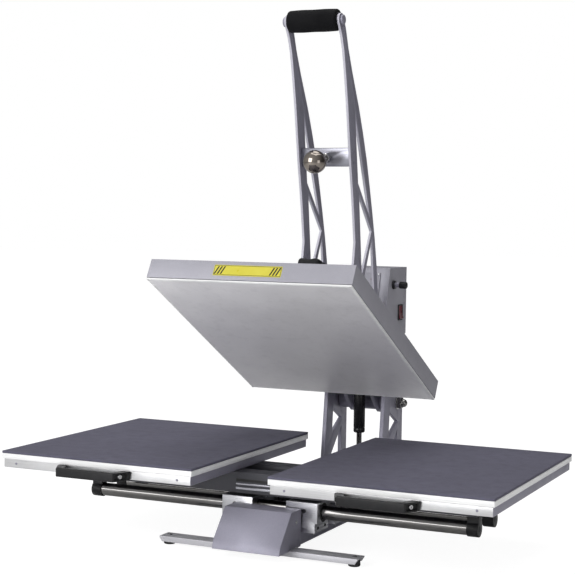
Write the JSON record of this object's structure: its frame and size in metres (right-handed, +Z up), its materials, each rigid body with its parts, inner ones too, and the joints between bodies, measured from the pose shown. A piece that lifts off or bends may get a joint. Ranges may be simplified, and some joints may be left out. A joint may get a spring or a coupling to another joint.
{
  "type": "heat press",
  "caption": "Clamshell heat press with paired lower platens on a sliding carriage, a tilting heated head, a long folding handle with toggle links and a rear control box.",
  "frame": {"origin": "on the ground, under the middle of the machine's overall width and depth", "axes": "+X to the operator's right, -Y towards the operator, +Z up"},
  "size_m": [0.9484, 0.71, 1.0025],
  "materials": {
    "silver_paint": "satin powder coat",
    "light_paint": "satin powder coat",
    "dark_steel": "semi-gloss",
    "bare_aluminium": "brushed",
    "heat_platen_face": "satin non-stick coating",
    "polished_steel": "polished",
    "black_plastic": "moulded",
    "spring_black": "gloss",
    "grip_foam": "matt foam",
    "pad_foam": "matt silicone foam",
    "black_rubber": "matt",
    "red_plastic": "gloss",
    "button_grey": "moulded",
    "circuit_board": "solder mask",
    "insulation_wool": "felted mineral fibre"
  },
  "bodies": {
    "base": {"base_chassis": "silver_paint", "front_cover": "silver_paint", "front_foot_bar": "silver_paint", "rear_foot_bar": "silver_paint", "front_left_foot": "black_rubber", "front_right_foot": "black_rubber", "rear_left_foot": "black_rubber", "rear_right_foot": "black_rubber", "front_left_bearing_block": "bare_aluminium", "front_right_bearing_block": "bare_aluminium", "rear_left_bearing_block": "bare_aluminium", "rear_right_bearing_block": "bare_aluminium", "left_post": "silver_paint", "right_post": "silver_paint", "head_axle": "polished_steel", "toggle_shaft": "polished_steel", "control_box_shell": "light_paint", "control_box_back": "silver_paint", "controller_board": "circuit_board", "control_panel": "black_plastic", "power_inlet": "black_plastic", "fuse_holder": "polished_steel"},
    "carriage": {"front_rail": "polished_steel", "rear_rail": "polished_steel", "front_left_rail_cap": "black_plastic", "front_right_rail_cap": "black_plastic", "rear_left_rail_cap": "black_plastic", "rear_right_rail_cap": "black_plastic", "carriage_frame": "dark_steel", "left_tray": "bare_aluminium", "right_tray": "bare_aluminium", "left_lower_platen": "bare_aluminium", "right_lower_platen": "bare_aluminium", "left_foam_pad": "pad_foam", "right_foam_pad": "pad_foam", "left_pull_handle": "black_plastic", "right_pull_handle": "black_plastic"},
    "bridge": {"head_bridge": "silver_paint", "arm_shaft": "polished_steel"},
    "head": {"heat_platen": "heat_platen_face", "insulation_board": "insulation_wool", "head_cover": "light_paint", "pressure_boss": "silver_paint"},
    "screw": {"pressure_screw": "polished_steel", "pressure_knob": "black_plastic"},
    "handle": {"left_handle_arm": "silver_paint", "right_handle_arm": "silver_paint", "grip_rod": "polished_steel", "foam_grip": "grip_foam", "cross_plate": "bare_aluminium", "ball_lever": "polished_steel"},
    "links": {"left_toggle_link": "silver_paint", "right_toggle_link": "silver_paint"},
    "spring_rod": {"gas_spring_rod": "polished_steel"},
    "spring_tube": {"gas_spring_tube": "spring_black"},
    "rocker": {"power_rocker": "red_plastic"},
    "fuse_top": {"fuse_cap": "black_plastic"},
    "set_key": {"set_button": "button_grey"},
    "up_key": {"up_button": "button_grey"},
    "down_key": {"down_button": "button_grey"}
  },
  "joints": [
    {"name": "head_tilt", "type": "hinge", "parent": "base", "child": "bridge", "pos_m": [0, 0.315, 0.222], "axis": [1, 0, 0], "range_deg": [0, 28.8], "stiffness_Nm_per_rad": 60, "springref_deg": -137.51},
    {"name": "handle_swing", "type": "hinge", "parent": "bridge", "child": "handle", "pos_m": [0, 0.16592, 0.39297], "axis": [1, 0, 0], "range_deg": [0, 41.21]},
    {"name": "link_swing", "type": "hinge", "parent": "handle", "child": "links", "pos_m": [0, 0.22144, 0.29532], "axis": [1, 0, 0], "range_deg": [-91.46, 0]},
    {"name": "spring_lean", "type": "hinge", "parent": "base", "child": "spring_rod", "pos_m": [0, 0.274, 0.068], "axis": [1, 0, 0], "range_deg": [0, 4.97]},
    {"name": "spring_stroke", "type": "slide", "parent": "spring_rod", "child": "spring_tube", "axis": [0, -0.0101, 0.9999], "range_m": [-0.025, 0]},
    {"name": "carriage_slide", "type": "slide", "parent": "base", "child": "carriage", "axis": [1, 0, 0], "range_m": [-0.2737, 0.2737]},
    {"name": "pressure_adjust", "type": "slide", "parent": "bridge", "child": "head", "axis": [0, 0.4818, 0.8763], "range_m": [-0.0102, 0.004]},
    {"name": "pressure_screw_turn", "type": "hinge", "parent": "head", "child": "screw", "pos_m": [0, 0.00907, 0.4792], "axis": [0, 0.4818, 0.8763], "range_deg": [-1469.3, 576.5]},
    {"name": "power_switch", "type": "hinge", "parent": "base", "child": "rocker", "pos_m": [0.066, 0.316, 0.412], "axis": [0, 1, 0], "range_deg": [0, 14]},
    {"name": "fuse_cap_turn", "type": "hinge", "parent": "base", "child": "fuse_top", "pos_m": [0.09, 0.274, 0.471], "axis": [1, 0, 0], "range_deg": [-45, 0]},
    {"name": "set_press", "type": "slide", "parent": "base", "child": "set_key", "axis": [0, 0.9701, -0.2425], "range_m": [0, 0.001], "stiffness_N_per_m": 600, "springref_m": -0.0006},
    {"name": "up_press", "type": "slide", "parent": "base", "child": "up_key", "axis": [0, 0.9701, -0.2425], "range_m": [0, 0.001], "stiffness_N_per_m": 600, "springref_m": -0.0006},
    {"name": "down_press", "type": "slide", "parent": "base", "child": "down_key", "axis": [0, 0.9701, -0.2425], "range_m": [0, 0.001], "stiffness_N_per_m": 600, "springref_m": -0.0006}
  ],
  "couplings": [
    {"joint": "handle_swing", "follows": "head_tilt", "ratio": 1.4306},
    {"joint": "link_swing", "follows": "head_tilt", "ratio": -3.1753},
    {"joint": "spring_lean", "follows": "head_tilt", "ratio": 0.17205},
    {"joint": "spring_stroke", "follows": "head_tilt", "m_per_rad": -0.049715},
    {"joint": "pressure_screw_turn", "follows": "pressure_adjust", "rad_per_m": 2513.3}
  ]
}
